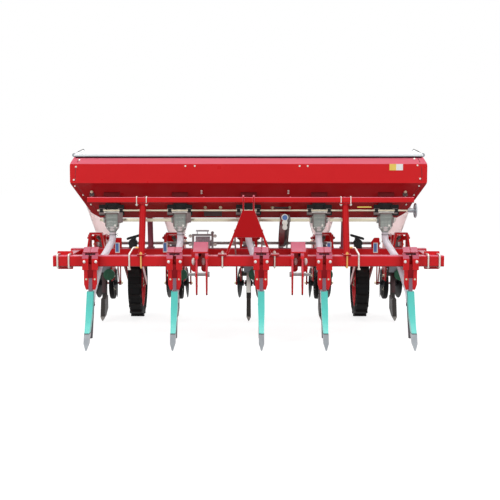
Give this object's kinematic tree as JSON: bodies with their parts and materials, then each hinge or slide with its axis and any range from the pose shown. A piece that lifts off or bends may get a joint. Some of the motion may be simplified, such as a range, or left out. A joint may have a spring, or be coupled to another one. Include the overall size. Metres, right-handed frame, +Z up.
{
  "type": "mounted row-crop seed drill",
  "caption": "Tractor-mounted row-crop seed drill: long fertiliser hopper over a two-beam frame, curved front shanks, and seed row units with boxes, discs and wheels.",
  "frame": {"origin": "on the ground, in the middle of the machine's length and width", "axes": "+Z up; +Y rearward, away from the tractor; +X across the machine"},
  "size_m": [2.84, 1.992, 1.417],
  "materials": {
    "red_paint": "gloss",
    "dark_red_paint": "satin",
    "zinc": "satin",
    "galvanised": "satin",
    "bright_steel": "satin",
    "grey_steel": "satin",
    "chain_steel": "satin",
    "sleeve_plastic": "gloss",
    "black_plastic": "matte",
    "meter_plastic": "satin",
    "tube_plastic": "gloss",
    "seed_box_plastic": "gloss",
    "green_plastic": "satin",
    "dark_steel": "satin",
    "disc_steel": "satin",
    "tyre_rubber": "matte"
  },
  "bodies": {
    "frame": {"chain_guard": "dark_red_paint", "drive_chain": "chain_steel", "drive_covers": "dark_steel", "drive_shaft": "grey_steel", "fertiliser_boots": "grey_steel", "fertiliser_tubes": "tube_plastic", "frame_rails": "red_paint", "frame_ubolts": "zinc", "front_beam": "red_paint", "gear_case": "grey_steel", "hitch_clevises": "red_paint", "hitch_mast": "red_paint", "hitch_pins": "zinc", "hopper_beam": "red_paint", "hopper_ends": "red_paint", "hopper_posts": "red_paint", "hopper_trough": "red_paint", "lid_hinges": "zinc", "meter_housings": "meter_plastic", "meter_shafts": "zinc", "meter_throats": "black_plastic", "rate_handwheel": "bright_steel", "rear_beam": "red_paint", "row_brackets": "red_paint", "row_frames": "red_paint", "row_links": "red_paint", "row_springs": "chain_steel", "seed_boxes": "seed_box_plastic", "seed_meters": "green_plastic", "seed_openers": "dark_steel", "shank_clamps": "red_paint", "shank_points": "bright_steel", "shank_sleeves": "sleeve_plastic", "shanks": "grey_steel", "wheel_arms": "red_paint"},
    "lid": {"hopper_lid": "galvanised"},
    "seed_lid_1": {"seed_box_lid_1": "seed_box_plastic"},
    "seed_lid_2": {"seed_box_lid_2": "seed_box_plastic"},
    "seed_lid_3": {"seed_box_lid_3": "seed_box_plastic"},
    "seed_lid_4": {"seed_box_lid_4": "seed_box_plastic"},
    "seed_lid_5": {"seed_box_lid_5": "seed_box_plastic"},
    "ground_wheel_left": {"ground_tyre_left": "tyre_rubber", "ground_rim_left": "red_paint"},
    "ground_wheel_right": {"ground_tyre_right": "tyre_rubber", "ground_rim_right": "red_paint"},
    "press_wheel_1": {"press_wheel_1": "tyre_rubber"},
    "press_wheel_2": {"press_wheel_2": "tyre_rubber"},
    "press_wheel_3": {"press_wheel_3": "tyre_rubber"},
    "press_wheel_4": {"press_wheel_4": "tyre_rubber"},
    "press_wheel_5": {"press_wheel_5": "tyre_rubber"},
    "covering_disc_1": {"covering_disc_1": "disc_steel"},
    "covering_disc_2": {"covering_disc_2": "disc_steel"},
    "covering_disc_3": {"covering_disc_3": "disc_steel"},
    "covering_disc_4": {"covering_disc_4": "disc_steel"},
    "covering_disc_5": {"covering_disc_5": "disc_steel"},
    "covering_disc_6": {"covering_disc_6": "disc_steel"},
    "covering_disc_7": {"covering_disc_7": "disc_steel"},
    "covering_disc_8": {"covering_disc_8": "disc_steel"},
    "covering_disc_9": {"covering_disc_9": "disc_steel"},
    "covering_disc_10": {"covering_disc_10": "disc_steel"}
  },
  "joints": [
    {"name": "lid_hinge", "type": "hinge", "parent": "frame", "child": "lid", "pos_m": [0, 0.052, 1.359], "axis": [-1, 0, 0], "range_deg": [0, 100]},
    {"name": "seed_lid_hinge_1", "type": "hinge", "parent": "frame", "child": "seed_lid_1", "pos_m": [-1.2, 0.571, 1.054], "axis": [-1, 0, 0], "range_deg": [0, 110]},
    {"name": "seed_lid_hinge_2", "type": "hinge", "parent": "frame", "child": "seed_lid_2", "pos_m": [-0.6, 0.571, 1.054], "axis": [-1, 0, 0], "range_deg": [0, 110]},
    {"name": "seed_lid_hinge_3", "type": "hinge", "parent": "frame", "child": "seed_lid_3", "pos_m": [0, 0.571, 1.054], "axis": [-1, 0, 0], "range_deg": [0, 110]},
    {"name": "seed_lid_hinge_4", "type": "hinge", "parent": "frame", "child": "seed_lid_4", "pos_m": [0.6, 0.571, 1.054], "axis": [-1, 0, 0], "range_deg": [0, 110]},
    {"name": "seed_lid_hinge_5", "type": "hinge", "parent": "frame", "child": "seed_lid_5", "pos_m": [1.2, 0.571, 1.054], "axis": [-1, 0, 0], "range_deg": [0, 110]},
    {"name": "ground_wheel_spin_left", "type": "hinge", "parent": "frame", "child": "ground_wheel_left", "pos_m": [-0.945, 0.544, 0.295], "axis": [1, 0, 0], "continuous": true},
    {"name": "ground_wheel_spin_right", "type": "hinge", "parent": "frame", "child": "ground_wheel_right", "pos_m": [0.945, 0.544, 0.295], "axis": [1, 0, 0], "continuous": true},
    {"name": "press_wheel_spin_1", "type": "hinge", "parent": "frame", "child": "press_wheel_1", "pos_m": [-1.2, 0.856, 0.246], "axis": [1, 0, 0], "continuous": true},
    {"name": "press_wheel_spin_2", "type": "hinge", "parent": "frame", "child": "press_wheel_2", "pos_m": [-0.6, 0.856, 0.246], "axis": [1, 0, 0], "continuous": true},
    {"name": "press_wheel_spin_3", "type": "hinge", "parent": "frame", "child": "press_wheel_3", "pos_m": [0, 0.856, 0.246], "axis": [1, 0, 0], "continuous": true},
    {"name": "press_wheel_spin_4", "type": "hinge", "parent": "frame", "child": "press_wheel_4", "pos_m": [0.6, 0.856, 0.246], "axis": [1, 0, 0], "continuous": true},
    {"name": "press_wheel_spin_5", "type": "hinge", "parent": "frame", "child": "press_wheel_5", "pos_m": [1.2, 0.856, 0.246], "axis": [1, 0, 0], "continuous": true},
    {"name": "covering_disc_spin_1", "type": "hinge", "parent": "frame", "child": "covering_disc_1", "pos_m": [-1.263, 0.566, 0.285], "axis": [-0.9877, 0.1564, 0], "continuous": true},
    {"name": "covering_disc_spin_2", "type": "hinge", "parent": "frame", "child": "covering_disc_2", "pos_m": [-1.137, 0.566, 0.285], "axis": [0.9877, 0.1564, 0], "continuous": true},
    {"name": "covering_disc_spin_3", "type": "hinge", "parent": "frame", "child": "covering_disc_3", "pos_m": [-0.663, 0.566, 0.285], "axis": [-0.9877, 0.1564, 0], "continuous": true},
    {"name": "covering_disc_spin_4", "type": "hinge", "parent": "frame", "child": "covering_disc_4", "pos_m": [-0.537, 0.566, 0.285], "axis": [0.9877, 0.1564, 0], "continuous": true},
    {"name": "covering_disc_spin_5", "type": "hinge", "parent": "frame", "child": "covering_disc_5", "pos_m": [-0.063, 0.566, 0.285], "axis": [-0.9877, 0.1564, 0], "continuous": true},
    {"name": "covering_disc_spin_6", "type": "hinge", "parent": "frame", "child": "covering_disc_6", "pos_m": [0.063, 0.566, 0.285], "axis": [0.9877, 0.1564, 0], "continuous": true},
    {"name": "covering_disc_spin_7", "type": "hinge", "parent": "frame", "child": "covering_disc_7", "pos_m": [0.537, 0.566, 0.285], "axis": [-0.9877, 0.1564, 0], "continuous": true},
    {"name": "covering_disc_spin_8", "type": "hinge", "parent": "frame", "child": "covering_disc_8", "pos_m": [0.663, 0.566, 0.285], "axis": [0.9877, 0.1564, 0], "continuous": true},
    {"name": "covering_disc_spin_9", "type": "hinge", "parent": "frame", "child": "covering_disc_9", "pos_m": [1.137, 0.566, 0.285], "axis": [-0.9877, 0.1564, 0], "continuous": true},
    {"name": "covering_disc_spin_10", "type": "hinge", "parent": "frame", "child": "covering_disc_10", "pos_m": [1.263, 0.566, 0.285], "axis": [0.9877, 0.1564, 0], "continuous": true}
  ]
}
